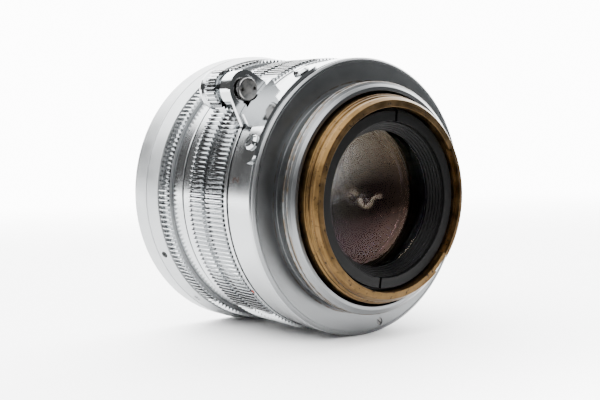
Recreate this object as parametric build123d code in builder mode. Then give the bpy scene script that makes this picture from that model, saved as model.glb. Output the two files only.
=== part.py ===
"""Chrome-plated brass screw-mount standard lens with a brass rangefinder cam.

The optical axis is Y. The origin is the centre of the seating face of the mount
flange, +Y points out of the back of the lens towards the camera, -Y towards the
subject, and +Z is up with the infinity lock knob at the upper left seen from behind.
Angles are measured about the axis from +X towards +Z, in degrees.
"""
from build123d import *
import os
from math import cos, degrees, radians, sin, sqrt

os.makedirs("parts", exist_ok=True)

# ---------------------------------------------------------------- driving dimensions (mm, deg)
# rear mount: 39 mm screw thread, drawn as plain crests
THREAD_R = 19.5
THREAD_DEPTH = 0.55
THREAD_START = 1.99
COLLAR_END = 4.1
COLLAR_BORE_R = 17.95
FLANGE_R = 23.55
FLANGE_EDGE = 0.5
# the seating face starts outside the thread crests, past a shallow undercut
SEAT_R = 19.6
UNDERCUT_R = 18.9
UNDERCUT_DEPTH = 0.12

# stations of the outer rings along the axis, back to front
SCALE_FRONT = -7.2
FOCUS_REAR = -7.4
FOCUS_FRONT = -20.4
SHELL_REAR = -20.9
APERTURE_REAR = -24.3
APERTURE_FRONT = -30.0
FRONT_END = -34.2

# outer radii
SCALE_BAND_R = 23.35
SMOOTH_BAND_R = 23.6
KNURL_TIP_R = 23.9
KNURL_ROOT_R = 23.3
SHELL_R = 23.3
APERTURE_KNURL_R = 24.35
FRONT_R = 25.1

KNURL_TEETH = 188
APERTURE_TEETH = 180

# bearings and slides
SLEEVE_R = 21.5
HELICOID_R = 20.45
TUBE_R = 18.9
TUBE_BORE_R = 16.9
FRONT_BORE_R = 18.0
CLEAR = 0.05
FOCUS_CLEAR = 0.06

# rangefinder cam
CAM_END = 7.05
CAM_R = 17.37
CAM_BORE_R = 15.23

# infinity catch and lock
KNOB_ANGLE = 41.0
KNOB_AXIS_R = 27.5
LOCK_DISC_R = 1.86
KNOB_R = 3.33
CATCH_FROM = 19.0
CATCH_TO = 62.5
CATCH_R = 24.2
CATCH_MIDDLE = -2.1
CATCH_WIDTH = 3.1
CATCH_SCREW_ANGLES = (23.5, 59.5)
RAIL_FROM = 30.6
RAIL_TO = 50.5
RAIL_REAR = -4.75
RAIL_FRONT = -5.7
RAIL_R = 25.56
STOP_R = 25.95

# iris
BLADES = 8
BLADE_PIVOT_R = 12.3
BLADE_IN_R = 10.3
BLADE_OUT_R = 14.0
BLADE_ARC = 138.0
BLADE_THICK = 0.06
BLADE_REST = 22.5
IRIS_RISE = 0.11
IRIS_REAR = -15.8
IRIS_FRONT = -18.55
RING_OPEN = -45.0
RING_CLOSED = 43.0

KNOB_AT = (KNOB_AXIS_R * cos(radians(KNOB_ANGLE)), KNOB_AXIS_R * sin(radians(KNOB_ANGLE)))
AXIS = Axis.Y
FOCUS_AXIS = Axis((0, 0, 0), (0, -1, 0))


# ---------------------------------------------------------------- frames and repeated outlines
def facing_front(station):
    """Plane across the axis: local x is +X, local y is +Z, extruding goes to the front."""
    return Plane(origin=(0, station, 0), x_dir=(1, 0, 0), z_dir=(0, -1, 0))


def on_radius(angle, station, radius=0.0):
    """Plane with its normal pointing outward at an angle: local x runs along the axis."""
    out = (cos(radians(angle)), 0, sin(radians(angle)))
    return Plane(origin=(radius * out[0], station, radius * out[2]), x_dir=(0, 1, 0), z_dir=out)


def half_plane(angle):
    """Plane holding the axis at an angle: local x is the radius, local y the station."""
    out = (cos(radians(angle)), 0, sin(radians(angle)))
    return Plane(origin=(0, 0, 0), x_dir=out, z_dir=(-out[2], 0, out[0]))


def at_angle(radius, angle):
    """Point across the axis, in the local coordinates of facing_front."""
    return (radius * cos(radians(angle)), radius * sin(radians(angle)))


def half_section(*points, plane=Plane.XY):
    """Closed half-section of a turned piece, its points as (radius, station)."""
    with BuildSketch(plane) as section:
        with BuildLine():
            Polyline(*points, close=True)
        make_face()
    return section.sketch


def toothed_disc(teeth, tip, root, middle=(0, 0), land=0.16):
    """Straight-knurl outline round a middle point: flat lands with V grooves between them."""
    step = 360 / teeth
    points = []
    for tooth in range(teeth):
        for radius, share in ((tip, -land / 2), (tip, land / 2), (root, 0.5)):
            x, z = at_angle(radius, (tooth + share) * step)
            points.append((middle[0] + x, middle[1] + z))
    return points


def finish(builder, label):
    """Label a finished piece and write its STEP file."""
    builder.part.label = label
    export_step(builder.part, f"parts/{label}.step")


# ---------------------------------------------------------------- rear mount
with BuildPart() as mount_flange:
    revolve(
        half_section(
            (COLLAR_BORE_R, COLLAR_END),
            (18.55, COLLAR_END),
            (19.05, COLLAR_END - 0.4),
            (THREAD_R - THREAD_DEPTH, 3.62),
            (THREAD_R, 3.28),
            (THREAD_R, THREAD_START),
            (UNDERCUT_R, 1.6),
            (UNDERCUT_R, -UNDERCUT_DEPTH),
            (SEAT_R, -UNDERCUT_DEPTH),
            (SEAT_R, 0.0),
            (22.85, 0.0),
            (22.85, -0.1),
            (22.97, -0.1),
            (22.97, 0.0),
            (FLANGE_R - 0.35, 0.0),
            (FLANGE_R, -0.3),
            (FLANGE_R, -FLANGE_EDGE),
            (23.2, -0.85),
            (21.2, -0.85),
            (21.2, -2.2),
            (19.15, -2.2),
            (19.15, -0.7),
            (COLLAR_BORE_R, -0.7),
        ),
        axis=AXIS,
    )
    # V groove between the two full thread crests
    groove = THREAD_START + 0.65
    revolve(
        half_section(
            (THREAD_R + 0.05, groove - 0.34),
            (THREAD_R - THREAD_DEPTH, groove),
            (THREAD_R + 0.05, groove + 0.34),
        ),
        axis=AXIS,
        mode=Mode.SUBTRACT,
    )
    # hole for the lock screw in the seating face
    with BuildSketch(facing_front(0.0)):
        with Locations(at_angle(21.95, -99)):
            Circle(0.62)
    extrude(amount=0.9, mode=Mode.SUBTRACT)
finish(mount_flange, "mount_flange")

with BuildPart() as distance_scale_ring:
    revolve(
        half_section(
            (21.25, -0.87),
            (23.3, -0.87),
            (SMOOTH_BAND_R, -1.12),
            (SMOOTH_BAND_R, -3.62),
            (SCALE_BAND_R, -3.72),
            (SCALE_BAND_R, SCALE_FRONT + 0.1),
            (23.25, SCALE_FRONT),
            (21.6, SCALE_FRONT),
            (21.6, -2.15),
            (21.25, -2.15),
        ),
        axis=AXIS,
    )
    with BuildSketch(facing_front(-0.8)):
        with Locations(at_angle(21.95, -99)):
            Circle(0.62)
    extrude(amount=1.4, mode=Mode.SUBTRACT)
    # tapped holes of the catch screws
    for angle in CATCH_SCREW_ANGLES:
        with BuildSketch(on_radius(angle, CATCH_MIDDLE, 22.3)):
            Circle(0.63)
        extrude(amount=2.0, mode=Mode.SUBTRACT)
finish(distance_scale_ring, "distance_scale_ring")

with BuildPart() as flange_lock_screw:
    with BuildSketch(facing_front(-0.12)):
        with Locations(at_angle(21.95, -99)):
            Circle(0.58)
    extrude(amount=1.9)
    with BuildSketch(facing_front(-0.12)):
        with Locations(at_angle(21.95, -99)):
            Rectangle(1.4, 0.2, rotation=35)
    extrude(amount=0.3, mode=Mode.SUBTRACT)
finish(flange_lock_screw, "flange_lock_screw")

# ---------------------------------------------------------------- infinity catch
with BuildPart() as catch_plate:
    # middle stretch of the strip, with a round end centred on each limit
    with BuildSketch(half_plane(CATCH_FROM)):
        with Locations((24.0, CATCH_MIDDLE)):
            Rectangle(1.6, CATCH_WIDTH)
    revolve(axis=FOCUS_AXIS, revolution_arc=CATCH_TO - CATCH_FROM)
    for angle in (CATCH_FROM, CATCH_TO):
        with BuildSketch(on_radius(angle, CATCH_MIDDLE, 23.0)):
            Circle(CATCH_WIDTH / 2)
        extrude(amount=2.4)
    # curved seat and outer face
    revolve(
        half_section(
            (SMOOTH_BAND_R + 0.02, 0.5),
            (SMOOTH_BAND_R + 0.02, -6.0),
            (CATCH_R, -6.0),
            (CATCH_R, 0.5),
        ),
        axis=AXIS,
        mode=Mode.INTERSECT,
    )
    # tongue that reaches forward over the numeral band
    revolve(
        half_section(
            (SMOOTH_BAND_R + 0.02, -3.4),
            (SMOOTH_BAND_R + 0.02, RAIL_FRONT),
            (CATCH_R, RAIL_FRONT),
            (CATCH_R, -3.4),
            plane=half_plane(RAIL_FROM),
        ),
        axis=FOCUS_AXIS,
        revolution_arc=RAIL_TO - RAIL_FROM,
    )
    # rail on the tongue, hollowed for the lock disc and with a sloping end
    with BuildSketch(facing_front(RAIL_REAR)):
        with BuildLine():
            Polyline(
                at_angle(24.0, RAIL_FROM),
                at_angle(24.4, RAIL_FROM),
                at_angle(STOP_R + 0.1, RAIL_FROM + 2.2),
                at_angle(STOP_R + 0.4, (RAIL_FROM + RAIL_TO) / 2),
                at_angle(STOP_R + 0.1, RAIL_TO),
                at_angle(24.0, RAIL_TO),
                at_angle(23.7, (RAIL_FROM + RAIL_TO) / 2),
                close=True,
            )
        make_face()
        Circle(STOP_R, mode=Mode.INTERSECT)
        with Locations(KNOB_AT):
            Circle(LOCK_DISC_R + 0.1, mode=Mode.SUBTRACT)
    extrude(amount=RAIL_REAR - RAIL_FRONT)
    # the far side is low enough for the disc to pass over
    revolve(
        half_section(
            (RAIL_R, RAIL_REAR + 0.2),
            (RAIL_R, RAIL_FRONT - 0.2),
            (27.0, RAIL_FRONT - 0.2),
            (27.0, RAIL_REAR + 0.2),
            plane=half_plane(KNOB_ANGLE),
        ),
        axis=FOCUS_AXIS,
        revolution_arc=RAIL_TO + 1 - KNOB_ANGLE,
        mode=Mode.SUBTRACT,
    )
    for angle in CATCH_SCREW_ANGLES:
        with BuildSketch(on_radius(angle, CATCH_MIDDLE, 23.0)):
            Circle(0.66)
        extrude(amount=2.0, mode=Mode.SUBTRACT)
finish(catch_plate, "catch_plate")

with BuildPart() as catch_screws:
    for angle, slot_turn in ((23.5, 40), (59.5, 67)):
        with BuildSketch(on_radius(angle, CATCH_MIDDLE, 22.4)):
            Circle(0.6)
        extrude(amount=CATCH_R + 0.06 - 22.4)
        with BuildSketch(on_radius(angle, CATCH_MIDDLE, CATCH_R + 0.04)):
            Circle(1.35)
        extrude(amount=0.22)
        with BuildSketch(on_radius(angle, CATCH_MIDDLE, CATCH_R + 0.26)):
            Circle(1.35)
        extrude(amount=0.36, taper=42)
        with BuildSketch(on_radius(angle, CATCH_MIDDLE, CATCH_R + 0.3)):
            Rectangle(3.0, 0.34, rotation=slot_turn)
        extrude(amount=0.5, mode=Mode.SUBTRACT)
finish(catch_screws, "catch_screws")

# ---------------------------------------------------------------- fixed bearing and guide keys
KEY_ANGLES = (90, 270)
KEY_STATION = -5.9

with BuildPart() as bearing_sleeve:
    revolve(
        half_section(
            (19.15, -2.2),
            (SLEEVE_R, -2.2),
            (SLEEVE_R, -19.6),
            (HELICOID_R + 0.1, -19.6),
            (HELICOID_R + 0.1, -3.4),
            (19.15, -3.4),
        ),
        axis=AXIS,
    )
    for angle in KEY_ANGLES:
        with BuildSketch(on_radius(angle, KEY_STATION, 20.0)):
            Circle(0.62)
        extrude(amount=2.0, mode=Mode.SUBTRACT)
        with BuildSketch(on_radius(angle, KEY_STATION, 21.0)):
            Circle(1.1)
        extrude(amount=1.0, mode=Mode.SUBTRACT)
finish(bearing_sleeve, "bearing_sleeve")

with BuildPart() as guide_keys:
    for angle in KEY_ANGLES:
        with BuildSketch(on_radius(angle, KEY_STATION, 17.5)):
            Rectangle(4.8, 3.0)
        extrude(amount=4.0)
    revolve(
        half_section((18.35, -2.0), (20.5, -2.0), (20.5, -10.0), (18.35, -10.0)),
        axis=AXIS,
        mode=Mode.INTERSECT,
    )
    for angle in KEY_ANGLES:
        with BuildSketch(on_radius(angle, KEY_STATION, 18.9)):
            Circle(0.58)
        extrude(amount=2.0, mode=Mode.SUBTRACT)
finish(guide_keys, "guide_keys")

with BuildPart() as guide_key_screws:
    for angle in KEY_ANGLES:
        with BuildSketch(on_radius(angle, KEY_STATION, 19.0)):
            Circle(0.55)
        extrude(amount=2.1)
        with BuildSketch(on_radius(angle, KEY_STATION, 21.05)):
            Circle(1.02)
        extrude(amount=0.38)
finish(guide_key_screws, "guide_key_screws")

# ---------------------------------------------------------------- focusing ring and helicoid
KNURL_ROWS = ((-8.45, 4.6), (-14.2, 4.0))
WEB_SCREWS = 6
DOT_ANGLE = -40.3
BRACKET_SCREW_ANGLES = (32.8, 48.0)
BRACKET_SCREW_STATION = -7.8

with BuildPart() as focus_ring:
    revolve(
        half_section(
            (SLEEVE_R + FOCUS_CLEAR, FOCUS_REAR),
            (23.4, FOCUS_REAR),
            (23.5, FOCUS_REAR - 0.1),
            (23.5, -8.1),
            (23.4, -8.2),
            (23.1, -8.2),
            (23.1, -8.5),
            (KNURL_ROOT_R - 0.05, -8.5),
            (KNURL_ROOT_R - 0.05, -13.0),
            (23.15, -13.0),
            (23.15, -14.25),
            (KNURL_ROOT_R - 0.05, -14.25),
            (KNURL_ROOT_R - 0.05, -18.15),
            (23.45, -18.15),
            (23.45, FOCUS_FRONT + 0.2),
            (23.25, FOCUS_FRONT),
            (19.6, FOCUS_FRONT),
            (19.6, -19.7),
            (SLEEVE_R + FOCUS_CLEAR, -19.7),
        ),
        axis=AXIS,
    )
    for start, length in KNURL_ROWS:
        with BuildSketch(facing_front(start)):
            with BuildLine():
                Polyline(*toothed_disc(KNURL_TEETH, KNURL_TIP_R, KNURL_ROOT_R), close=True)
            make_face()
            Circle(22.4, mode=Mode.SUBTRACT)
        extrude(amount=length)
    with BuildSketch(facing_front(-19.6)):
        with PolarLocations(20.02, WEB_SCREWS):
            Circle(0.36)
    extrude(amount=1.0, mode=Mode.SUBTRACT)
    with BuildSketch(facing_front(FOCUS_FRONT + 0.3)):
        with PolarLocations(20.02, WEB_SCREWS):
            Circle(0.62)
    extrude(amount=0.5, mode=Mode.SUBTRACT)
    with BuildSketch(on_radius(DOT_ANGLE, -7.8, 23.0)):
        Circle(0.32)
    extrude(amount=1.0, mode=Mode.SUBTRACT)
    for angle in BRACKET_SCREW_ANGLES:
        with BuildSketch(on_radius(angle, BRACKET_SCREW_STATION, 22.2)):
            Circle(0.38)
        extrude(amount=2.0, mode=Mode.SUBTRACT)
finish(focus_ring, "focus_ring")

with BuildPart() as index_dot:
    with BuildSketch(on_radius(DOT_ANGLE, -7.8, 23.05)):
        Circle(0.3)
    extrude(amount=0.5)
finish(index_dot, "index_dot")

with BuildPart() as helicoid_sleeve:
    revolve(
        half_section(
            (TUBE_R + CLEAR, -8.9),
            (HELICOID_R, -8.9),
            (HELICOID_R, -19.65),
            (TUBE_R + CLEAR, -19.65),
        ),
        axis=AXIS,
    )
    with BuildSketch(facing_front(-17.6)):
        with PolarLocations(20.02, WEB_SCREWS):
            Circle(0.35)
    extrude(amount=2.2, mode=Mode.SUBTRACT)
finish(helicoid_sleeve, "helicoid_sleeve")

with BuildPart() as helicoid_screws:
    with BuildSketch(facing_front(-17.7)):
        with PolarLocations(20.02, WEB_SCREWS):
            Circle(0.33)
    extrude(amount=2.5)
    with BuildSketch(facing_front(FOCUS_FRONT + 0.28)):
        with PolarLocations(20.02, WEB_SCREWS):
            Circle(0.58)
    extrude(amount=0.24)
finish(helicoid_screws, "helicoid_screws")

# ---------------------------------------------------------------- lock bracket on the focusing ring
BRACKET_REAR = -5.8
BRACKET_FRONT = -6.45
PLATE_R = 3.05
BOSS_FRONT = -8.7
BOSS_R = 2.95
BOSS_BORE_R = 2.2
SPRING_FLOOR = -6.95
PLUNGER_R = 0.85
RECESS_R = 2.35
RECESS_DEPTH = 0.35
FOOT_LOW = at_angle(24.3, 30.7)
FOOT_HIGH = at_angle(24.2, 48.8)
SADDLE_R = 24.4

with BuildPart() as lock_bracket:
    # teardrop plate whose straight sides run down to the ring
    with BuildSketch(facing_front(BRACKET_REAR)):
        with Locations(KNOB_AT):
            Circle(PLATE_R)
        with Locations(FOOT_LOW, FOOT_HIGH):
            Circle(0.5)
        make_hull()
    extrude(amount=BRACKET_REAR - BRACKET_FRONT)
    # boss round the plunger
    with BuildSketch(facing_front(BRACKET_FRONT)):
        with Locations(KNOB_AT):
            Circle(BOSS_R)
    extrude(amount=BRACKET_FRONT - BOSS_FRONT)
    # saddle that lies on the rear rim of the focusing ring
    with BuildSketch(half_plane(30.4)):
        with Locations(((SADDLE_R + 23.4) / 2, (BRACKET_REAR - 8.3) / 2)):
            Rectangle(SADDLE_R - 23.4, BRACKET_REAR + 8.3)
    revolve(axis=FOCUS_AXIS, revolution_arc=19.4)
    # everything stays clear of the band and rim below
    revolve(
        half_section((20.0, -4.0), (23.55, -4.0), (23.55, -9.5), (20.0, -9.5)),
        axis=AXIS,
        mode=Mode.SUBTRACT,
    )
    # shallow recess round the lock disc
    with BuildSketch(facing_front(BRACKET_REAR + 0.1)):
        with Locations(KNOB_AT):
            Circle(RECESS_R)
    extrude(amount=RECESS_DEPTH + 0.1, mode=Mode.SUBTRACT)
    # spring bore from the front and plunger hole through its floor
    with BuildSketch(facing_front(SPRING_FLOOR)):
        with Locations(KNOB_AT):
            Circle(BOSS_BORE_R)
    extrude(amount=3.0, mode=Mode.SUBTRACT)
    with BuildSketch(facing_front(BRACKET_REAR)):
        with Locations(KNOB_AT):
            Circle(PLUNGER_R + CLEAR)
    extrude(amount=2.0, mode=Mode.SUBTRACT)
    for angle in BRACKET_SCREW_ANGLES:
        with BuildSketch(on_radius(angle, BRACKET_SCREW_STATION, 23.0)):
            Circle(0.4)
        extrude(amount=2.0, mode=Mode.SUBTRACT)
finish(lock_bracket, "lock_bracket")

with BuildPart() as bracket_screws:
    for angle in BRACKET_SCREW_ANGLES:
        with BuildSketch(on_radius(angle, BRACKET_SCREW_STATION, 22.3)):
            Circle(0.35)
        extrude(amount=2.3)
        with BuildSketch(on_radius(angle, BRACKET_SCREW_STATION, SADDLE_R + 0.03)):
            Circle(0.6)
        extrude(amount=0.28)
        with BuildSketch(on_radius(angle, BRACKET_SCREW_STATION, SADDLE_R + 0.18)):
            Rectangle(1.4, 0.16)
        extrude(amount=0.3, mode=Mode.SUBTRACT)
finish(bracket_screws, "bracket_screws")

# ---------------------------------------------------------------- sprung lock knob
KNOB_FRONT = -14.4
KNOB_REAR = -10.0
NECK_REAR = -8.4
SPRING_SEAT = -12.2
KNOB_TEETH = 30
DISC_TEETH = 28
KNOB_PLANE = Plane(origin=(KNOB_AT[0], 0, KNOB_AT[1]), x_dir=(1, 0, 0), z_dir=(0, 0, 1))
KNOB_AXIS = Axis((KNOB_AT[0], 0, KNOB_AT[1]), (0, 1, 0))

with BuildPart() as lock_knob:
    revolve(
        half_section(
            (PLUNGER_R + 0.02, KNOB_FRONT + 0.25),
            (2.75, KNOB_FRONT),
            (3.15, KNOB_FRONT + 0.12),
            (KNOB_R, KNOB_FRONT + 0.5),
            (KNOB_R, KNOB_FRONT + 0.9),
            (3.0, KNOB_FRONT + 1.2),
            (3.0, KNOB_REAR + 0.05),
            (2.7, KNOB_REAR),
            (2.12, KNOB_REAR),
            (2.12, NECK_REAR),
            (1.62, NECK_REAR),
            (1.62, SPRING_SEAT),
            (PLUNGER_R + 0.02, SPRING_SEAT),
            plane=KNOB_PLANE,
        ),
        axis=KNOB_AXIS,
    )
    with BuildSketch(facing_front(KNOB_REAR)):
        with BuildLine():
            Polyline(*toothed_disc(KNOB_TEETH, KNOB_R, 3.0, middle=KNOB_AT, land=0.3), close=True)
        make_face()
        with Locations(KNOB_AT):
            Circle(2.3, mode=Mode.SUBTRACT)
    extrude(amount=2.6)
finish(lock_knob, "lock_knob")

DISC_FRONT = -5.75
DISC_REAR = -4.95

with BuildPart() as lock_plunger:
    with BuildSketch(facing_front(DISC_FRONT)):
        with Locations(KNOB_AT):
            Circle(PLUNGER_R)
    extrude(amount=DISC_FRONT - KNOB_FRONT - 0.1)
    with BuildSketch(facing_front(DISC_REAR - 0.2)):
        with Locations(KNOB_AT):
            Circle(0.5)
    extrude(amount=DISC_REAR - 0.2 - DISC_FRONT)
finish(lock_plunger, "lock_plunger")

with BuildPart() as lock_disc:
    with BuildSketch(facing_front(DISC_REAR)):
        with Locations(KNOB_AT):
            Circle(LOCK_DISC_R - 0.06)
    extrude(amount=0.3)
    chamfer(lock_disc.edges().group_by(Axis.Y)[-1], 0.08)
    with BuildSketch(facing_front(DISC_REAR - 0.3)):
        with BuildLine():
            Polyline(
                *toothed_disc(DISC_TEETH, LOCK_DISC_R, LOCK_DISC_R - 0.12, middle=KNOB_AT),
                close=True,
            )
        make_face()
    extrude(amount=DISC_REAR - 0.3 - DISC_FRONT)
    # two spanner holes and the bore for the plunger's end
    with BuildSketch(facing_front(DISC_REAR)):
        with Locations((KNOB_AT[0] + 1.15, KNOB_AT[1] - 0.1), (KNOB_AT[0] - 1.15, KNOB_AT[1] + 0.1)):
            Circle(0.3)
    extrude(amount=0.6, mode=Mode.SUBTRACT)
    with BuildSketch(facing_front(DISC_REAR - 0.18)):
        with Locations(KNOB_AT):
            Circle(0.52)
    extrude(amount=1.0, mode=Mode.SUBTRACT)
finish(lock_disc, "lock_disc")

SPRING_R = 1.24
SPRING_WIRE_R = 0.15
SPRING_FRONT = SPRING_SEAT + 0.18
SPRING_REAR = SPRING_FLOOR - 0.18
SPRING_TURNS = 5

with BuildPart() as lock_spring:
    with BuildLine() as coil:
        Helix(
            pitch=(SPRING_REAR - SPRING_FRONT) / SPRING_TURNS,
            height=SPRING_REAR - SPRING_FRONT,
            radius=SPRING_R,
            center=(KNOB_AT[0], SPRING_FRONT, KNOB_AT[1]),
            direction=(0, 1, 0),
        )
    with BuildSketch(Plane(origin=coil.line @ 0, z_dir=coil.line % 0)):
        Circle(SPRING_WIRE_R)
    sweep()
finish(lock_spring, "lock_spring")

# ---------------------------------------------------------------- sliding lens tube
DRIVE_ANGLE = -26.0
DRIVE_STATION = -28.6

with BuildPart() as lens_tube:
    revolve(
        half_section(
            (TUBE_BORE_R, -3.7),
            (TUBE_R, -3.7),
            (TUBE_R, -20.8),
            (22.65, -20.8),
            (22.65, -31.3),
            (FRONT_BORE_R, -31.3),
            (FRONT_BORE_R, -18.58),
            (TUBE_BORE_R, -18.58),
        ),
        axis=AXIS,
    )
    # keyways for the guide keys, open at the back
    for angle in KEY_ANGLES:
        with BuildSketch(on_radius(angle, -6.0, 18.25)):
            Rectangle(5.6, 3.1)
        extrude(amount=2.0, mode=Mode.SUBTRACT)
    # slot for the aperture drive screw
    with BuildSketch(half_plane(DRIVE_ANGLE + RING_OPEN - 3.0)):
        with Locations((20.4, DRIVE_STATION)):
            Rectangle(6.0, 1.5)
    revolve(
        axis=FOCUS_AXIS,
        revolution_arc=RING_CLOSED - RING_OPEN + 6.0,
        mode=Mode.SUBTRACT,
    )
finish(lens_tube, "lens_tube")

with BuildPart() as head_shell:
    revolve(
        half_section(
            (22.68, SHELL_REAR),
            (SHELL_R - 0.1, SHELL_REAR),
            (SHELL_R, SHELL_REAR - 0.1),
            (SHELL_R, APERTURE_REAR + 0.12),
            (SHELL_R - 0.08, APERTURE_REAR + 0.04),
            (22.68, APERTURE_REAR + 0.04),
        ),
        axis=AXIS,
    )
finish(head_shell, "head_shell")

with BuildPart() as front_barrel:
    revolve(
        half_section(
            (22.68, APERTURE_FRONT - 0.06),
            (FRONT_R - 0.08, APERTURE_FRONT - 0.06),
            (FRONT_R, APERTURE_FRONT - 0.14),
            (FRONT_R, FRONT_END + 0.3),
            (FRONT_R - 0.3, FRONT_END),
            (21.8, FRONT_END),
            (21.5, FRONT_END + 0.3),
            (21.5, -32.5),
            (21.2, -32.5),
            (21.2, -31.4),
            (22.68, -31.4),
        ),
        axis=AXIS,
    )
finish(front_barrel, "front_barrel")

with BuildPart() as name_ring:
    revolve(
        half_section(
            (18.05, -31.42),
            (21.15, -31.42),
            (21.15, -32.1),
            (18.6, -32.4),
            (18.05, -32.4),
        ),
        axis=AXIS,
    )
finish(name_ring, "name_ring")

# ---------------------------------------------------------------- aperture ring and its drive
with BuildPart() as aperture_ring:
    revolve(
        half_section(
            (22.65 + CLEAR, APERTURE_REAR),
            (23.75, APERTURE_REAR),
            (23.75, -26.95),
            (23.95, -27.05),
            (24.5, -27.15),
            (FRONT_R - 0.05, APERTURE_FRONT + 0.1),
            (FRONT_R - 0.15, APERTURE_FRONT),
            (22.65 + CLEAR, APERTURE_FRONT),
        ),
        axis=AXIS,
    )
    with BuildSketch(facing_front(APERTURE_REAR - 0.02)):
        with BuildLine():
            Polyline(*toothed_disc(APERTURE_TEETH, APERTURE_KNURL_R, 23.76), close=True)
        make_face()
        Circle(23.2, mode=Mode.SUBTRACT)
    extrude(amount=2.6)
    with BuildSketch(on_radius(DRIVE_ANGLE, DRIVE_STATION, 22.0)):
        Circle(0.6)
    extrude(amount=4.0, mode=Mode.SUBTRACT)
finish(aperture_ring, "aperture_ring")

with BuildPart() as aperture_drive_screw:
    with BuildSketch(on_radius(DRIVE_ANGLE, DRIVE_STATION, 17.25)):
        Circle(0.56)
    extrude(amount=6.7)
    with BuildSketch(on_radius(DRIVE_ANGLE, DRIVE_STATION, 23.6)):
        Rectangle(1.4, 0.2, rotation=20)
    extrude(amount=0.6, mode=Mode.SUBTRACT)
finish(aperture_drive_screw, "aperture_drive_screw")


# ---------------------------------------------------------------- iris
def blade_point(index, along, radius, turn):
    """Point of a blade: its own angle along the leaf, then the blade's turn about its pivot."""
    pivot = at_angle(BLADE_PIVOT_R, index * 360 / BLADES)
    point = at_angle(radius, index * 360 / BLADES + along)
    dx = point[0] - pivot[0]
    dz = point[1] - pivot[1]
    c = cos(radians(turn))
    s = sin(radians(turn))
    return (pivot[0] + dx * c - dz * s, pivot[1] + dx * s + dz * c)


PIN_R = 0.3
SLOT_ANGLE = -177.1
FINGER_WIDTH = 4.4

with BuildPart() as iris_base_plate:
    revolve(
        half_section((10.5, -14.7), (16.85, -14.7), (16.85, -15.5), (10.5, -15.5)),
        axis=AXIS,
    )
    with BuildSketch(facing_front(-14.0)):
        with PolarLocations(BLADE_PIVOT_R, BLADES):
            Circle(PIN_R + CLEAR)
    extrude(amount=2.0, mode=Mode.SUBTRACT)
finish(iris_base_plate, "iris_base_plate")

with BuildPart() as iris_spacer:
    revolve(
        half_section((15.6, -15.52), (16.85, -15.52), (16.85, -18.5), (15.6, -18.5)),
        axis=AXIS,
    )
finish(iris_spacer, "iris_spacer")

END_R = (BLADE_OUT_R - BLADE_IN_R) / 2
END_REACH = degrees(END_R / BLADE_PIVOT_R)

for index in range(BLADES):
    heel = blade_point(index, 0, BLADE_PIVOT_R, BLADE_REST)
    toe = blade_point(index, BLADE_ARC, BLADE_PIVOT_R, BLADE_REST)
    reach = sqrt((toe[0] - heel[0]) ** 2 + (toe[1] - heel[1]) ** 2)
    east = (toe[0] - heel[0]) / reach
    north = (toe[1] - heel[1]) / reach
    stretch = sqrt(1 + IRIS_RISE**2)
    along = Vector(east / stretch, -IRIS_RISE / stretch, north / stretch)
    across = Vector(north, 0, -east)
    leaf_plane = Plane(origin=(heel[0], IRIS_REAR, heel[1]), x_dir=along, z_dir=along.cross(across))
    # inner edge, toe, outer edge and heel of the leaf, each through three points
    stations = (
        (0, BLADE_IN_R),
        (BLADE_ARC / 2, BLADE_IN_R),
        (BLADE_ARC, BLADE_IN_R),
        (BLADE_ARC + END_REACH, (BLADE_IN_R + BLADE_OUT_R) / 2),
        (BLADE_ARC, BLADE_OUT_R),
        (BLADE_ARC / 2, BLADE_OUT_R),
        (0, BLADE_OUT_R),
        (-END_REACH, (BLADE_IN_R + BLADE_OUT_R) / 2),
    )
    outline = []
    for angle, radius in stations:
        x, z = blade_point(index, angle, radius, BLADE_REST)
        dx = x - heel[0]
        dz = z - heel[1]
        outline.append(((dx * east + dz * north) * stretch, dx * north - dz * east))
    with BuildPart() as blade:
        with BuildSketch(leaf_plane):
            with BuildLine():
                for corner in (0, 2, 4, 6):
                    ThreePointArc(outline[corner], outline[corner + 1], outline[(corner + 2) % 8])
            make_face()
        extrude(amount=BLADE_THICK / 2, both=True)
        # pivot pin to the rear, drive pin to the front
        with BuildSketch(facing_front(IRIS_REAR + 0.95)):
            with Locations(heel):
                Circle(PIN_R)
        extrude(amount=0.95)
        with BuildSketch(facing_front(IRIS_REAR - IRIS_RISE * reach)):
            with Locations(toe):
                Circle(PIN_R)
        extrude(amount=0.85)
    finish(blade, f"iris_blade_{index + 1:02d}")

with BuildPart() as iris_actuating_ring:
    revolve(
        half_section((10.0, IRIS_FRONT - 0.05), (17.93, IRIS_FRONT - 0.05), (17.93, -19.4), (10.0, -19.4)),
        axis=AXIS,
    )
    # one radial slot for each drive pin, wide enough for the pin's side play
    with BuildSketch(facing_front(-18.0)):
        for index in range(BLADES):
            turn = index * 360 / BLADES + SLOT_ANGLE
            with Locations(Location(at_angle(11.63, turn), turn)):
                SlotOverall(2.76, 1.16)
    extrude(amount=2.0, mode=Mode.SUBTRACT)
    # finger that reaches forward to the drive screw
    finger_half = degrees(FINGER_WIDTH / 2 / 17.5)
    with BuildSketch(half_plane(DRIVE_ANGLE - finger_half)):
        with Locations((17.5, -24.25)):
            Rectangle(0.78, 10.5)
    revolve(axis=FOCUS_AXIS, revolution_arc=2 * finger_half)
    with BuildSketch(on_radius(DRIVE_ANGLE, DRIVE_STATION, 16.0)):
        Circle(0.58)
    extrude(amount=3.0, mode=Mode.SUBTRACT)
finish(iris_actuating_ring, "iris_actuating_ring")

# ---------------------------------------------------------------- front optical cell
with BuildPart() as front_cell:
    revolve(
        half_section(
            (17.0, -19.6),
            (17.0, -29.95),
            (17.95, -29.95),
            (17.95, -32.4),
            (16.3, -32.4),
            (16.3, -27.13),
            (13.7, -27.13),
            (13.7, -20.6),
            (11.2, -20.2),
            (11.2, -19.6),
        ),
        axis=AXIS,
    )
finish(front_cell, "front_cell")

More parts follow.
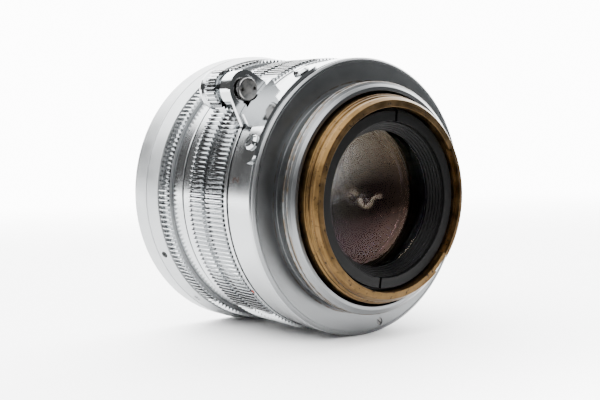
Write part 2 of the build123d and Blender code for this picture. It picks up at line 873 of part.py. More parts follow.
with BuildPart() as front_retaining_ring:
    revolve(
        half_section((15.5, -29.8), (16.25, -29.45), (16.25, -32.4), (16.0, -32.4)),
        axis=AXIS,
    )
finish(front_retaining_ring, "front_retaining_ring")

with BuildPart() as doublet_retaining_ring:
    revolve(
        half_section((12.8, -25.15), (13.65, -24.85), (13.65, -25.9), (12.8, -25.9)),
        axis=AXIS,
    )
finish(doublet_retaining_ring, "doublet_retaining_ring")

# ---------------------------------------------------------------- glass
# label, radius, rear and front vertices, rear and front curves, bulge of each face (+1 to the rear)
GLASSES = (
    ("glass_1", 16.2, -28.1, -32.45, 140.0, 44.0, -1, -1),
    ("glass_2", 13.6, -23.35, -27.95, 150.0, 30.0, 1, -1),
    ("glass_3", 13.6, -22.35, -23.33, 60.0, 150.0, -1, 1),
    ("glass_4", 11.8, -10.22, -11.4, 60.0, 38.0, -1, 1),
    ("glass_5", 11.8, -6.5, -10.2, 40.0, 60.0, 1, -1),
    ("glass_6", 12.92, -2.4, -6.0, 60.0, 90.0, 1, -1),
    ("glass_7", 12.92, 3.1, -1.8, 70.0, 120.0, 1, -1),
)


def face_height(vertex, curve, bulge, radius):
    """Station of a spherical face at a radius from the axis."""
    return vertex - bulge * (curve - sqrt(curve * curve - radius * radius))


for label, radius, rear, front, rear_curve, front_curve, rear_bulge, front_bulge in GLASSES:
    half = radius / 2
    rear_edge = face_height(rear, rear_curve, rear_bulge, radius)
    front_edge = face_height(front, front_curve, front_bulge, radius)
    with BuildPart() as glass:
        with BuildSketch(Plane.XY):
            with BuildLine():
                Line((0, rear), (0, front))
                ThreePointArc(
                    (0, front),
                    (half, face_height(front, front_curve, front_bulge, half)),
                    (radius, front_edge),
                )
                Line((radius, front_edge), (radius, rear_edge))
                ThreePointArc(
                    (radius, rear_edge),
                    (half, face_height(rear, rear_curve, rear_bulge, half)),
                    (0, rear),
                )
            make_face()
        revolve(axis=AXIS)
    finish(glass, label)

# ---------------------------------------------------------------- rear optical cell
with BuildPart() as rear_cell:
    revolve(
        half_section(
            (16.85, -14.4),
            (16.85, -8.0),
            (15.1, -8.0),
            (15.1, 5.2),
            (14.7, 5.2),
            (14.7, 3.1),
            (13.0, 3.1),
            (13.0, -6.3),
            (11.85, -6.3),
            (11.85, -13.35),
            (10.8, -13.35),
            (10.8, -14.4),
        ),
        axis=AXIS,
    )
finish(rear_cell, "rear_cell")

# rings that hold the glass apart in the rear cell: label, inner and outer radius, rear and front
SPACERS = (
    ("doublet_clamp_ring", 11.1, 11.8, -6.4, -7.95),
    ("glass_6_seat_ring", 12.0, 12.95, -5.25, -6.25),
    ("glass_7_spacer_ring", 12.05, 12.95, -1.25, -3.58),
)
for label, inner, outer, rear, front in SPACERS:
    with BuildPart() as spacer:
        revolve(
            half_section((inner, front), (outer, front), (outer, rear), (inner, rear)),
            axis=AXIS,
        )
    finish(spacer, label)

BAFFLE_STEPS = 6
BAFFLE_IN_R = 11.4
BAFFLE_OUT_R = 12.75

with BuildPart() as rear_baffle:
    # funnel of small steps behind the last glass, with a lip that holds it
    with BuildSketch(Plane.XY):
        with BuildLine():
            points = [(14.6, 3.12), (12.93, 3.12), (12.93, 2.15), (12.2, 2.15), (BAFFLE_IN_R, 3.12)]
            for step in range(BAFFLE_STEPS):
                rear = 3.12 + 2.5 * (step + 1) / BAFFLE_STEPS
                radius = BAFFLE_IN_R + (BAFFLE_OUT_R - BAFFLE_IN_R) * step / (BAFFLE_STEPS - 1)
                points.append((radius, rear - 2.5 / BAFFLE_STEPS + 0.06))
                points.append((radius, rear))
            points.append((12.85, 5.62))
            points.append((12.85, 4.5))
            points.append((14.6, 4.5))
            Polyline(*points, close=True)
        make_face()
    revolve(axis=AXIS)
finish(rear_baffle, "rear_baffle")

with BuildPart() as rear_retaining_ring:
    revolve(
        half_section(
            (12.92, 4.55),
            (14.65, 4.55),
            (14.65, 5.95),
            (14.55, 6.05),
            (13.02, 6.05),
            (12.92, 5.95),
        ),
        axis=AXIS,
    )
    # two spanner slots across the ring
    for angle in (95, 279):
        with BuildSketch(facing_front(6.1)):
            with Locations(Location(at_angle(13.8, angle), angle)):
                Rectangle(2.6, 0.5)
        extrude(amount=0.9, mode=Mode.SUBTRACT)
finish(rear_retaining_ring, "rear_retaining_ring")

# ---------------------------------------------------------------- brass rangefinder cam
RELIEF_FROM = 148.0
RELIEF_TO = 219.0
NOTCH_TO = 232.0

with BuildPart() as rangefinder_cam:
    revolve(
        half_section(
            (CAM_BORE_R, -7.0),
            (16.85, -7.0),
            (16.85, -3.65),
            (CAM_R, -3.65),
            (CAM_R, 4.95),
            (17.1, 5.1),
            (17.1, 5.45),
            (16.8, 5.6),
            (16.75, 6.0),
            (16.92, 6.12),
            (16.85, 6.5),
            (16.35, CAM_END),
            (CAM_BORE_R + 0.05, CAM_END),
            (CAM_BORE_R, CAM_END - 0.05),
        ),
        axis=AXIS,
    )
    # relieved inner edge on one side, then a notch in the outer edge
    revolve(
        half_section((15.0, 6.2), (15.7, 6.2), (15.7, 7.5), (15.0, 7.5), plane=half_plane(RELIEF_FROM)),
        axis=FOCUS_AXIS,
        revolution_arc=RELIEF_TO - RELIEF_FROM,
        mode=Mode.SUBTRACT,
    )
    revolve(
        half_section((15.95, 5.85), (17.6, 5.85), (17.6, 7.5), (15.95, 7.5), plane=half_plane(RELIEF_TO)),
        axis=FOCUS_AXIS,
        revolution_arc=NOTCH_TO - RELIEF_TO,
        mode=Mode.SUBTRACT,
    )
finish(rangefinder_cam, "rangefinder_cam")
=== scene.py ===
from math import cos, pi, radians, sin

import bmesh
import bpy
from mathutils import Matrix, Vector


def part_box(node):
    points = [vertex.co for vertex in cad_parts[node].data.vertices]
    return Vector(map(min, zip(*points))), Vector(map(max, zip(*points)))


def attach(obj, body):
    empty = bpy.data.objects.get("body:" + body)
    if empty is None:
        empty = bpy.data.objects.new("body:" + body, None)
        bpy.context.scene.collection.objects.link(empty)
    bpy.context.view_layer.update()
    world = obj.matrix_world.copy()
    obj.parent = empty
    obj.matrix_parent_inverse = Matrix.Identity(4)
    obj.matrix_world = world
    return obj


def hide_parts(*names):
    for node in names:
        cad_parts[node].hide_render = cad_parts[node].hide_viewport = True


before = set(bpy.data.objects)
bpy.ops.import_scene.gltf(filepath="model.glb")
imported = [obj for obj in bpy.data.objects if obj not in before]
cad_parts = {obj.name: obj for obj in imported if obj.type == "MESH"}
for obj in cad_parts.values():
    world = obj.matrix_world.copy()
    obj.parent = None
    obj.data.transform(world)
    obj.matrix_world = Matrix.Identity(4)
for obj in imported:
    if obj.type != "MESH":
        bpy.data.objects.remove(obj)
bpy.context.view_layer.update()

MM = 0.001
STUDIO = 12.5  # strength of the light room
SEGMENTS = 540  # steps round a turned ring
EASE = 0.07  # reach of a rounded edge, mm


# ---------------------------------------------------------------- camera
def look(place, aim):
    """Rotation of a camera or light that looks from one point to another."""
    return (Vector(aim) - Vector(place)).to_track_quat("-Z", "Y").to_euler()


CAMERA_AT = Vector((114.4, 124.7, 13.1)) * MM
AIM_AT = Vector((2.08, -15.15, -1.25)) * MM

camera_data = bpy.data.cameras.new("camera")
camera_data.lens = 60.0
camera_data.sensor_width = 36.0
camera_data.clip_start = 0.005
camera_data.clip_end = 50.0
camera = bpy.data.objects.new("camera", camera_data)
camera.location = CAMERA_AT
camera.rotation_euler = look(CAMERA_AT, AIM_AT)
bpy.context.scene.collection.objects.link(camera)
bpy.context.scene.camera = camera


# ---------------------------------------------------------------- node helpers
class Graph:
    """Short calls that build the nodes of one material or world."""

    def __init__(self, tree):
        self.tree = tree

    def add(self, kind, inputs=None, out=0, **settings):
        """Make a node with its inputs linked or set, and return one of its outputs."""
        node = self.tree.nodes.new(kind)
        for name, value in settings.items():
            setattr(node, name, value)
        for name, value in (inputs or {}).items():
            if isinstance(value, bpy.types.NodeSocket):
                self.tree.links.new(value, node.inputs[name])
            else:
                node.inputs[name].default_value = value
        return node.outputs[out]

    def math(self, operation, a, b):
        return self.add("ShaderNodeMath", {0: a, 1: b}, operation=operation)

    def span(self, value, low, high, start=0.0, end=1.0):
        """Smooth step of a value from low to high."""
        limits = {"Value": value, "From Min": low, "From Max": high, "To Min": start, "To Max": end}
        return self.add("ShaderNodeMapRange", limits, interpolation_type="SMOOTHSTEP")

    def band(self, value, low, high, soft):
        """1 between low and high, 0 outside, with soft edges."""
        rise = self.span(value, low - soft, low + soft)
        fall = self.span(value, high - soft, high + soft, 1.0, 0.0)
        return self.math("MULTIPLY", rise, fall)

    def mix(self, share, a, b):
        """Mix of two colours."""
        node = self.tree.nodes.new("ShaderNodeMix")
        node.data_type = "RGBA"
        for index, value in ((0, share), (6, a), (7, b)):
            if isinstance(value, bpy.types.NodeSocket):
                self.tree.links.new(value, node.inputs[index])
            else:
                node.inputs[index].default_value = value
        return node.outputs[2]


class Turned(Graph):
    """A material seen about the optical axis, with its place in millimetres."""

    def __init__(self, name):
        self.material = bpy.data.materials.new(name)
        self.material.use_nodes = True
        super().__init__(self.material.node_tree)
        self.shader = self.tree.nodes["Principled BSDF"]
        place = self.add("ShaderNodeTexCoord", out=3)
        self.place = self.add("ShaderNodeVectorMath", {0: place, "Scale": 1 / MM}, operation="SCALE")
        self.parts = self.tree.nodes.new("ShaderNodeSeparateXYZ")
        self.tree.links.new(self.place, self.parts.inputs[0])
        self.x, self.y, self.z = self.parts.outputs
        across = self.add("ShaderNodeCombineXYZ", {"X": self.x, "Z": self.z})
        self.radius = self.add("ShaderNodeVectorMath", {0: across}, out=1, operation="LENGTH")

    def set(self, **values):
        """Set or link sockets of the shader, with _ for spaces in their names."""
        for name, value in values.items():
            socket = self.shader.inputs[name.replace("_", " ")]
            if isinstance(value, bpy.types.NodeSocket):
                self.tree.links.new(value, socket)
            else:
                socket.default_value = value

    def noise(self, scale, detail=3.0, roughness=0.55):
        """Cloudy noise, its scale in cycles per millimetre."""
        inputs = {"Vector": self.place, "Scale": scale, "Detail": detail, "Roughness": roughness}
        return self.add("ShaderNodeTexNoise", inputs)

    def lines(self, fine, drift=0.05):
        """Lathe lines round the axis: quick along the radius and the axis, slow round it."""
        r = self.math("MULTIPLY", self.radius, fine)
        y = self.math("MULTIPLY", self.y, fine)
        x = self.math("MULTIPLY", self.x, drift)
        z = self.math("MULTIPLY", self.z, drift)
        place = self.add("ShaderNodeCombineXYZ", {"X": r, "Y": y, "Z": x})
        inputs = {"Vector": place, "W": z, "Scale": 1.0, "Detail": 3.0}
        return self.add("ShaderNodeTexNoise", inputs, noise_dimensions="4D")

    def bump(self, height, depth):
        """Bump of a height field, its depth in millimetres."""
        return self.add("ShaderNodeBump", {"Height": height, "Distance": depth * MM, "Strength": 1.0})


def grey(value, tint=(1.0, 1.0, 1.0)):
    return (value * tint[0], value * tint[1], value * tint[2], 1.0)


# ---------------------------------------------------------------- materials
COOL = (0.97, 1.0, 1.02)
BRASS = (0.07, 0.042, 0.016, 1.0)
BRASS_DARK = (0.012, 0.007, 0.004, 1.0)


def chrome(name, bright=0.33, low=0.15, high=0.18, fine=6.0, depth=0.0011, brass_at=None):
    """Chrome plate over turned brass: lathe lines, faint haze and small marks."""
    m = Turned(name)
    lines = m.lines(fine)
    haze = m.noise(0.35)
    marks = m.span(m.noise(1.4, 5.0, 0.7), 0.7, 0.78)
    tone = m.mix(haze, grey(bright * 0.9, COOL), grey(bright, COOL))
    tone = m.mix(m.math("MULTIPLY", marks, 0.15), tone, grey(0.2))
    if brass_at:
        for low_r, high_r, low_y, high_y, share in brass_at:
            worn = m.math(
                "MULTIPLY",
                m.band(m.radius, low_r, high_r, 0.04),
                m.band(m.y, low_y, high_y, 0.04),
            )
            patchy = m.span(m.noise(0.8), 0.3, 0.6)
            tone = m.mix(m.math("MULTIPLY", m.math("MULTIPLY", worn, patchy), share), tone, BRASS)
    rough = m.math("ADD", m.span(haze, 0.3, 0.7, low, high), m.math("MULTIPLY", lines, 0.08))
    m.set(Base_Color=tone, Metallic=1.0, Roughness=rough, Normal=m.bump(lines, depth))
    return m.material


def bare_brass():
    """Old unplated brass: tarnish in clouds and streaks, dark pits, bright turned lines."""
    m = Turned("brass_bare")
    lines = m.lines(3.0, 0.12)
    clouds = m.noise(0.45, 5.0)
    tone = m.mix(m.span(clouds, 0.35, 0.65), BRASS, (0.1, 0.06, 0.024, 1.0))
    tone = m.mix(m.span(lines, 0.5, 0.72), tone, (0.045, 0.024, 0.009, 1.0))
    pits = m.span(m.noise(1.6, 5.0, 0.7), 0.58, 0.65)
    tone = m.mix(pits, tone, BRASS_DARK)
    rough = m.span(clouds, 0.3, 0.7, 0.3, 0.46)
    dents = m.math("SUBTRACT", lines, pits)
    m.set(Base_Color=tone, Metallic=1.0, Roughness=rough, Normal=m.bump(dents, 0.008))
    return m.material


def black_paint():
    """Matt black over turned brass, with fine lines and grey rubbed places."""
    m = Turned("black_ring")
    lines = m.lines(5.0)
    rubbed = m.span(m.noise(1.1, 5.0), 0.58, 0.75)
    tone = m.mix(m.math("MULTIPLY", rubbed, 0.5), grey(0.0012), grey(0.005))
    rough = m.span(lines, 0.3, 0.7, 0.4, 0.52)
    m.set(Base_Color=tone, Roughness=rough, Specular_IOR_Level=0.12, Normal=m.bump(lines, 0.004))
    return m.material


def dark_steel(name, tone_low, tone_high, rough):
    """Plain steel with a brushed, slightly stained face."""
    m = Turned(name)
    stain = m.noise(0.9, 5.0)
    fine = m.noise(9.0, 2.0)
    tone = m.mix(m.span(stain, 0.35, 0.65), grey(tone_low), grey(tone_high, (1.0, 0.97, 0.93)))
    m.set(
        Base_Color=tone,
        Metallic=1.0,
        Roughness=m.span(stain, 0.3, 0.7, rough, rough + 0.12),
        Normal=m.bump(fine, 0.002),
    )
    return m.material


def coated_glass():
    """Optical glass with a thin anti-reflection film and a trace of dust."""
    m = Turned("coated_glass")
    dust = m.span(m.noise(3.2, 5.0, 0.7), 0.72, 0.8, 0.0, 0.05)
    m.set(
        Base_Color=(0.6, 0.63, 0.68, 1.0),
        Transmission_Weight=1.0,
        Roughness=dust,
        IOR=1.5,
        Specular_IOR_Level=0.1,
        Thin_Film_Thickness=110.0,
        Thin_Film_IOR=1.3,
    )
    return m.material


def enamel(name, colour):
    """Slightly uneven paint, for the red dot and the numerals."""
    m = Turned(name)
    uneven = m.noise(5.0)
    darker = tuple(0.55 * part for part in colour[:3]) + (1.0,)
    tone = m.mix(uneven, colour, darker)
    m.set(Base_Color=tone, Roughness=0.55, Specular_IOR_Level=0.15, Normal=m.bump(uneven, 0.01))
    return m.material


THREAD_WEAR = ((19.36, 19.6, 1.9, 3.4, 0.7), (19.5, 19.75, -0.2, 0.05, 0.6))
MATERIALS = {
    "chrome_satin": chrome("chrome_satin"),
    # Darker base (0.16 against 0.33 of the satin chrome): partly the turned finish, partly painted shade of
    # the flange face, which faces the dim room
    "chrome_turned": chrome("chrome_turned", 0.16, 0.25, 0.3, 4.0, 0.003, THREAD_WEAR),
    "chrome_frosted": chrome("chrome_frosted", 0.31, 0.36, 0.44, 9.0, 0.0012),
    "chrome_bright": chrome("chrome_bright", 0.4, 0.06, 0.11, 7.0, 0.0005),
    "brass_bare": bare_brass(),
    "black_ring": black_paint(),
    "steel_dark": dark_steel("steel_dark", 0.1, 0.17, 0.3),
    "steel_worn": dark_steel("steel_worn", 0.15, 0.27, 0.28),
    "blade_steel": dark_steel("blade_steel", 0.012, 0.03, 0.34),
    "coated_glass": coated_glass(),
    "red_enamel": enamel("red_enamel", (0.22, 0.018, 0.004, 1.0)),
}
MATERIALS["brass_worn"] = MATERIALS["brass_bare"]
INK = enamel("numeral_fill", (0.012, 0.004, 0.002, 1.0))

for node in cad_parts.values():
    for place in node.material_slots:
        if place.material and place.material.name.split(".")[0] in MATERIALS:
            place.material = MATERIALS[place.material.name.split(".")[0]]


# ---------------------------------------------------------------- turned and knurled pieces
SMALL_STEP = 0.01  # half the width of a cut's edge along the radius, mm
CUT_STEP = 0.02  # half the width of a cut's edge round the ring, degrees
FLAT_TURN = radians(12)  # a corner that turns less than this stays as it is
EASE_SHARE = 0.3  # most of a side that a rounded corner may take
EASE_STEPS = 4  # steps round a rounded corner
SUPPORT = 1.4  # place of the supporting points, in reaches of the corner
VALLEY = 0.04  # half the width of a knurl's valley, in teeth
BEVEL = 0.07  # bevel at the ends of a knurl's ridges, mm


def seam_corners(node):
    """Corners of a turned CAD node's half-section, read along its seam, as (radius, station)."""
    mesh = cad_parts[node].data
    near = 2e-6
    on_seam = {}
    for vertex in mesh.vertices:
        x, y, z = vertex.co
        if abs(z) < near and x > -near:
            on_seam[vertex.index] = (round(x / MM, 3), round(y / MM, 3))
    links = {}
    for edge in mesh.edges:
        a, b = edge.vertices
        if a in on_seam and b in on_seam and on_seam[a] != on_seam[b]:
            links.setdefault(on_seam[a], set()).add(on_seam[b])
            links.setdefault(on_seam[b], set()).add(on_seam[a])
    ends = sorted(point for point in links if len(links[point]) == 1)
    chain = [ends[0] if ends else min(links)]
    while True:
        onward = sorted(point for point in links[chain[-1]] if point not in chain)
        if not onward:
            return chain
        chain.append(onward[0])


def eased(corners, ease):
    """Closed outline with every corner rounded and a supporting point on each side of it."""
    points = []
    for index, corner in enumerate(corners):
        corner = Vector(corner)
        back = Vector(corners[index - 1]) - corner
        on = Vector(corners[(index + 1) % len(corners)]) - corner
        turn = back.angle(-on, 0.0)
        if turn < FLAT_TURN or corner.x == 0.0:
            points.append(corner)
            continue
        reach = min(ease, EASE_SHARE * back.length, EASE_SHARE * on.length)
        start = corner + back.normalized() * reach
        end = corner + on.normalized() * reach
        points.append(corner + back.normalized() * reach * SUPPORT)
        for step in range(EASE_STEPS + 1):
            t = step / EASE_STEPS
            points.append((1 - t) ** 2 * start + 2 * t * (1 - t) * corner + t**2 * end)
        points.append(corner + on.normalized() * reach * SUPPORT)
    return points


def add_piece(name, vertices, faces, body, material, nodes=(), sharp=40.0):
    """Mesh piece in millimetres that rides on a body and stands for CAD nodes."""
    mesh = bpy.data.meshes.new(name)
    mesh.from_pydata([Vector(vertex) * MM for vertex in vertices], [], faces)
    mesh.validate()
    mesh.polygons.foreach_set("use_smooth", [True] * len(mesh.polygons))
    mesh.set_sharp_from_angle(angle=radians(sharp))
    mesh.materials.append(material)
    piece = bpy.data.objects.new(name, mesh)
    bpy.context.scene.collection.objects.link(piece)
    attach(piece, body)
    if nodes:
        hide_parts(*nodes)
    return piece


def turned(name, corners, body, slot, nodes=(), cuts=()):
    """Turned ring. A cut lowers its rear face: (from, to) angles, (inner, outer) radii, station."""
    for _, radii, _ in cuts:
        corners = split_rear(corners, radii)
    outline = eased(corners, EASE)
    stations = [360 * index / SEGMENTS for index in range(SEGMENTS)]
    for angles, _, _ in cuts:
        for angle in angles:
            stations += [(angle - CUT_STEP) % 360, (angle + CUT_STEP) % 360]
    stations.sort()
    vertices = []
    for angle in stations:
        for radius, height in outline:
            for (low, high), (inner, outer), station in cuts:
                if low <= angle <= high and inner <= radius <= outer:
                    height = min(height, station)
            vertices.append((radius * cos(radians(angle)), height, radius * sin(radians(angle))))
    count = len(outline)
    faces = []
    for ring in range(len(stations)):
        onward = (ring + 1) % len(stations)
        for point in range(count):
            beside = (point + 1) % count
            faces.append(
                (ring * count + point, ring * count + beside, onward * count + beside, onward * count + point)
            )
    material = MATERIALS[slot]
    return add_piece(name, vertices, outward(faces, corners), body, material, nodes)


def split_rear(corners, radii):
    """Outline with pairs of close points where a cut's radii cross its flat stretches."""
    split = []
    for index, corner in enumerate(corners):
        onward = corners[(index + 1) % len(corners)]
        split.append(corner)
        extra = []
        for radius in radii:
            for place in (radius - SMALL_STEP, radius + SMALL_STEP):
                low, high = sorted((corner[0], onward[0]))
                if low + 2 * SMALL_STEP < place < high - 2 * SMALL_STEP:
                    share = (place - corner[0]) / (onward[0] - corner[0])
                    extra.append((place, corner[1] + share * (onward[1] - corner[1])))
        extra.sort(key=lambda point: abs(point[0] - corner[0]))
        split += extra
    return split


def outward(faces, corners):
    """Faces turned over where the outline runs the wrong way round."""
    area = 0.0
    for index, (radius, station) in enumerate(corners):
        next_radius, next_station = corners[(index + 1) % len(corners)]
        area += radius * next_station - next_radius * station
    return [face[::-1] for face in faces] if area > 0 else faces


def knurl(name, body, slot, rear, length, tip, root, teeth, land, bottom):
    """Row of straight V ridges with small lands, its ends eased, closed down to a bottom radius."""
    front = rear - length
    rings = ((rear, BEVEL), (rear - BEVEL, 0.0), (front + BEVEL, 0.0), (front, BEVEL))
    step = 2 * pi / teeth
    tooth_form = ((tip, -land / 2), (tip, land / 2), (root, 0.5 - VALLEY), (root, 0.5 + VALLEY))
    outline = []
    for tooth in range(teeth):
        for radius, share in tooth_form:
            outline.append((radius, (tooth + share) * step))
    vertices = []
    for station, drop in rings:
        for radius, angle in outline:
            edge = max(root, radius - drop)
            vertices.append((edge * cos(angle), station, edge * sin(angle)))
    count = len(outline)
    for station in (rear, front):
        for radius, angle in outline:
            vertices.append((bottom * cos(angle), station, bottom * sin(angle)))
    order = (4, 0, 1, 2, 3, 5)
    faces = []
    for a, b in zip(order, order[1:]):
        for point in range(count):
            beside = (point + 1) % count
            faces.append((a * count + point, b * count + point, b * count + beside, a * count + beside))
    return add_piece(name, vertices, faces, body, MATERIALS[slot], sharp=20.0)


# Screw holes: angle, place along the axis or radius, and hole radius
LOCK_SCREW = (-99.0, 21.95, 0.66)
DRIVE_SCREW = (-26.0, -28.6, 0.64)
SIMPLE_RINGS = (
    ("mount_flange", "mount", "chrome_turned"),
    ("distance_scale_ring", "mount", "chrome_satin"),
    ("head_shell", "head", "chrome_satin"),
    ("front_barrel", "head", "chrome_frosted"),
    ("name_ring", "head", "black_ring"),
    ("front_cell", "head", "black_ring"),
    ("front_retaining_ring", "head", "black_ring"),
    ("rear_cell", "head", "black_ring"),
    ("rear_baffle", "head", "black_ring"),
)


def drill(piece, start, end, radius):
    """Round hole from one point to another, in millimetres."""
    start, end = Vector(start) * MM, Vector(end) * MM
    along = end - start
    place = Matrix.Translation((start + end) / 2) @ along.to_track_quat("Z", "Y").to_matrix().to_4x4()
    cutter = bpy.data.meshes.new("drill")
    solid = bmesh.new()
    shape = {"radius1": radius * MM, "radius2": radius * MM, "depth": along.length, "segments": 48}
    bmesh.ops.create_cone(solid, cap_ends=True, matrix=place, **shape)
    solid.to_mesh(cutter)
    solid.free()
    tool = bpy.data.objects.new("drill", cutter)
    bpy.context.scene.collection.objects.link(tool)
    cut = piece.modifiers.new("hole", "BOOLEAN")
    cut.operation = "DIFFERENCE"
    cut.solver = "EXACT"
    cut.object = tool
    bpy.context.view_layer.update()
    seen = piece.evaluated_get(bpy.context.evaluated_depsgraph_get())
    mesh = bpy.data.meshes.new_from_object(seen)
    piece.modifiers.clear()
    piece.data = mesh
    bpy.data.objects.remove(tool)
    mesh.set_sharp_from_angle(angle=radians(40.0))


def build_rings():
    """Every plain turned ring of the outside, with rounded edges."""
    for node, body, slot in SIMPLE_RINGS:
        ring = turned(f"{node}_turned", seam_corners(node), body, slot, (node,))
        if node == "mount_flange":
            angle, radius, size = LOCK_SCREW
            x, z = radius * cos(radians(angle)), radius * sin(radians(angle))
            drill(ring, (x, -1.5, z), (x, 1.0, z), size)


def build_focus_ring():
    """Focusing ring: turned body and two knurled rows."""
    rear = -7.4
    body = (
        (21.56, rear), (23.5, rear), (23.5, -8.2), (23.1, -8.2), (23.1, -8.5), (23.25, -8.5),
        (23.25, -13.0), (23.15, -13.0), (23.15, -14.25), (23.25, -14.25), (23.25, -18.2),
        (23.45, -18.2), (23.45, -20.2), (23.25, -20.4), (19.6, -20.4), (19.6, -19.7), (21.56, -19.7),
    )
    turned("focus_ring_body", body, "focus", "chrome_satin", ("focus_ring",))
    for name, start, length in (("rear", -8.45, 4.6), ("front", -14.2, 4.0)):
        knurl(f"focus_knurl_{name}", "focus", "chrome_bright", start, length, 23.9, 23.3, 188, 0.16, 22.4)


def build_aperture_ring():
    """Aperture ring: turned body with its cone band and one fine knurled row."""
    body = (
        (22.7, -24.3), (23.75, -24.3), (23.75, -26.95), (23.95, -27.05), (24.5, -27.15),
        (25.05, -29.9), (24.95, -30.0), (22.7, -30.0),
    )
    ring = turned("aperture_ring_body", body, "aperture", "chrome_frosted", ("aperture_ring",))
    angle, station, size = DRIVE_SCREW
    ray = Vector((cos(radians(angle)), 0.0, sin(radians(angle))))
    middle = Vector((0.0, station, 0.0))
    drill(ring, middle + ray * 23.0, middle + ray * 26.0, size)
    knurl("aperture_knurl", "aperture", "chrome_bright", -24.32, 2.6, 24.35, 23.76, 180, 0.16, 23.2)


def build_cam():
    """Brass cam with its relieved inner edge and the notch in its outer edge."""
    corners = (
        (15.23, -7.0), (16.85, -7.0), (16.85, -3.65), (17.37, -3.65), (17.37, 4.95), (17.1, 5.1),
        (17.1, 5.45), (16.8, 5.6), (16.75, 6.0), (16.92, 6.12), (16.85, 6.5), (16.35, 7.05),
        (15.23, 7.05),
    )
    cuts = (((148.0, 219.0), (15.0, 15.7), 6.2), ((219.0, 232.0), (15.95, 17.6), 5.85))
    turned("rangefinder_cam_turned", corners, "head", "brass_bare", ("rangefinder_cam",), cuts)


def build_rear_ring():
    """Black retaining ring with two spanner slots."""
    corners = ((12.92, 4.55), (14.65, 4.55), (14.65, 6.05), (12.92, 6.05))
    cuts = []
    for angle in (95.0, 279.0):
        cuts.append(((angle - 1.04, angle + 1.04), (12.5, 15.0), 5.2))
    turned("rear_retaining_turned", corners, "head", "black_ring", ("rear_retaining_ring",), cuts)


def wrapped_text(name, text, size, angle, station, radius, body):
    """Generic numeral laid on a ring: its foot to the rear and its reading direction round it."""
    curve = bpy.data.curves.new(name, "FONT")
    curve.body = text
    curve.size = 1.0
    curve.align_x = "CENTER"
    curve.align_y = "CENTER"
    curve.offset = 0.012
    curve.resolution_u = 6
    holder = bpy.data.objects.new(name, curve)
    mesh = bpy.data.meshes.new_from_object(holder)
    bpy.data.objects.remove(holder)
    tall = max(vertex.co.y for vertex in mesh.vertices) - min(vertex.co.y for vertex in mesh.vertices)
    scale = size / tall
    middle = (max(v.co.y for v in mesh.vertices) + min(v.co.y for v in mesh.vertices)) / 2
    points = []
    for vertex in mesh.vertices:
        turn = radians(angle) + vertex.co.x * scale / radius
        points.append((radius * cos(turn), station - (vertex.co.y - middle) * scale, radius * sin(turn)))
    faces = [tuple(polygon.vertices) for polygon in mesh.polygons]
    return add_piece(name, points, faces, body, INK)


def build_numerals():
    """Distance numerals on the fixed band and aperture numerals on the cone band."""
    scale = [("2", 8.8)]
    far_side = ("3", "4", "5", "7", "10", "20")
    for index, text in enumerate(far_side):
        scale.append((text, 112.0 + 17.0 * index))
    for text, angle in scale:
        name = f"distance_numeral_{text}"
        wrapped_text(name, text, 1.7, angle, -5.35, 23.358, "mount")
    stops = ("1.5", "2", "2.8", "4", "5.6", "8", "11", "16")
    for index, text in enumerate(stops):
        name = f"aperture_numeral_{text.replace('.', '_')}"
        wrapped_text(name, text, 1.15, -143.0 + 13.0 * index, -29.0, 24.88, "aperture")


build_rings()
build_focus_ring()
build_aperture_ring()
build_cam()
build_rear_ring()
build_numerals()


# ---------------------------------------------------------------- studio
FLOOR_REACH = 4.0  # half the floor's side, m
FAR_FADE = (160.0, 620.0)  # distances from the flange where the floor fades out, mm
NEAR_FADE = (25.0, 105.0)  # the same on the camera's side, along the axis, mm


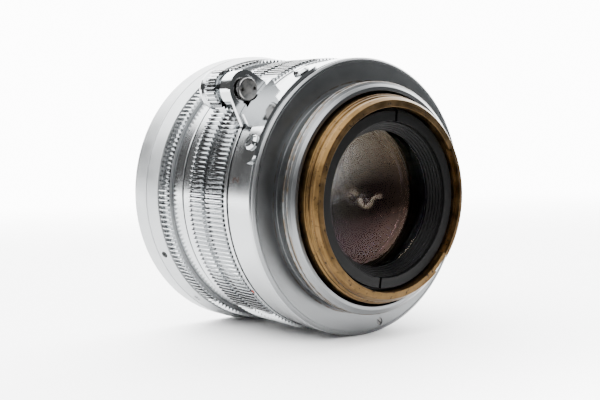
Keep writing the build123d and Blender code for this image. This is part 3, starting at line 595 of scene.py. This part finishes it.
def build_floor():
    """Pale plane that touches the flange rim and the front rim of the lens."""
    rear_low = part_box("mount_flange")[0]
    front_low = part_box("front_barrel")[0]
    rise = rear_low.z - front_low.z
    run = -0.3 * MM - front_low.y
    slope = rise / run
    corners = []
    for x, y in ((-1, -1), (1, -1), (1, 1), (-1, 1)):
        x, y = x * FLOOR_REACH, y * FLOOR_REACH
        corners.append((x, y, rear_low.z + slope * y))
    mesh = bpy.data.meshes.new("floor")
    mesh.from_pydata(corners, [], [(0, 1, 2, 3)])
    floor = bpy.data.objects.new("floor", mesh)
    bpy.context.scene.collection.objects.link(floor)
    m = Turned("floor_paper")
    tone = m.mix(m.noise(0.05), grey(0.88), grey(0.91))
    m.set(Base_Color=tone, Roughness=0.6, Specular_IOR_Level=0.15)
    ground = m.add("ShaderNodeVectorMath", {0: m.place}, out=1, operation="LENGTH")
    far = m.span(ground, *FAR_FADE)
    near = m.span(m.y, *NEAR_FADE)
    fade = m.math("MAXIMUM", far, near)
    clear = m.add("ShaderNodeBsdfTransparent")
    mixed = m.add("ShaderNodeMixShader", {0: fade, 1: m.shader.outputs[0], 2: clear})
    m.tree.links.new(mixed, m.tree.nodes["Material Output"].inputs["Surface"])
    mesh.materials.append(m.material)


FLAG_SIDE = (0.674, -0.735)  # direction of the dark flag along x and y


def build_world():
    """White room in front of the lens with a dark flag at one side, and a dim room behind it.

    The camera alone sees the whole room as white paper.
    """
    world = bpy.data.worlds.new("studio")
    bpy.context.scene.world = world
    world.use_nodes = True
    g = Graph(world.node_tree)
    g.tree.nodes.clear()
    direction = g.add("ShaderNodeTexCoord", out=0)
    parts = g.tree.nodes.new("ShaderNodeSeparateXYZ")
    g.tree.links.new(direction, parts.inputs[0])
    height = parts.outputs[2]

    def towards(x, y):
        inputs = {0: direction, 1: (x, y, 0.0)}
        return g.add("ShaderNodeVectorMath", inputs, out=1, operation="DOT_PRODUCT")

    flag_side = g.span(towards(*FLAG_SIDE), 0.58, 0.68)
    flag = g.math("MULTIPLY", flag_side, g.band(height, -0.03, 0.487, 0.01))
    near_side = g.span(parts.outputs[1], -0.1, 0.35)
    room = g.mix(g.span(parts.outputs[0], -0.95, -0.55), grey(0.07, COOL), grey(0.012, COOL))
    box = g.math("MULTIPLY", g.span(height, 0.42, 0.58), g.span(parts.outputs[0], -0.3, 0.1))
    room = g.mix(box, room, grey(0.7))
    tone = g.mix(near_side, grey(1.0), room)
    tone = g.mix(flag, tone, grey(0.016, (1.0, 0.98, 0.97)))
    studio = g.add("ShaderNodeBackground", {"Color": tone, "Strength": STUDIO})
    paper = g.add("ShaderNodeBackground", {"Color": grey(1.0), "Strength": STUDIO})
    seen = g.add("ShaderNodeLightPath", out=0)
    mixed = g.add("ShaderNodeMixShader", {0: seen, 1: studio, 2: paper})
    output = g.tree.nodes.new("ShaderNodeOutputWorld")
    g.tree.links.new(mixed, output.inputs[0])


build_floor()
build_world()
